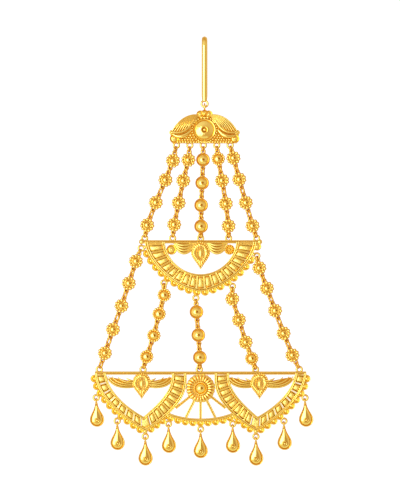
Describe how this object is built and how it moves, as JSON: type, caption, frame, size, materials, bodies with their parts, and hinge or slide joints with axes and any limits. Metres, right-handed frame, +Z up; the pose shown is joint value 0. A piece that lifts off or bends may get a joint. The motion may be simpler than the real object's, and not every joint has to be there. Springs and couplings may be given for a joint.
{
  "type": "forehead pendant",
  "caption": "Fan-shaped gold forehead pendant: a hair hook, a winged crown, strings of beads, a half-moon plate and a wide base plate with pear drops.",
  "frame": {"origin": "underside of the hook's bend, where the jewel hangs in the hair", "axes": "+Z up along the hook, +X to the wearer's left as seen from the front, the decorated front faces -Y"},
  "size_m": [0.0715, 0.0081, 0.1376],
  "materials": {
    "polished_gold": "polished rich yellow gold",
    "cast_gold": "cast gold with polished ridges and frosted cells",
    "stamped_gold": "stamped gold beads, bright cut"
  },
  "bodies": {
    "hook": {"hair_hook": "polished_gold"},
    "pendant": {"crown": "cast_gold", "half_moon": "cast_gold", "base_plate": "cast_gold", "upper_strand_1": "stamped_gold", "upper_strand_2": "stamped_gold", "upper_strand_3": "stamped_gold", "upper_strand_4": "stamped_gold", "upper_strand_5": "stamped_gold", "lower_strand_1": "stamped_gold", "lower_strand_2": "stamped_gold", "lower_strand_3": "stamped_gold", "lower_strand_4": "stamped_gold", "lower_strand_5": "stamped_gold", "drop_1": "polished_gold", "drop_2": "polished_gold", "drop_3": "polished_gold", "drop_4": "polished_gold", "drop_5": "polished_gold", "drop_6": "polished_gold", "drop_7": "polished_gold", "drop_8": "polished_gold", "drop_9": "polished_gold"}
  },
  "joints": [
    {"name": "pendant_swing", "type": "hinge", "parent": "hook", "child": "pendant", "pos_m": [0, -0.00243, -0.0209], "axis": [1, 0, 0], "range_deg": [-70, 70]}
  ]
}
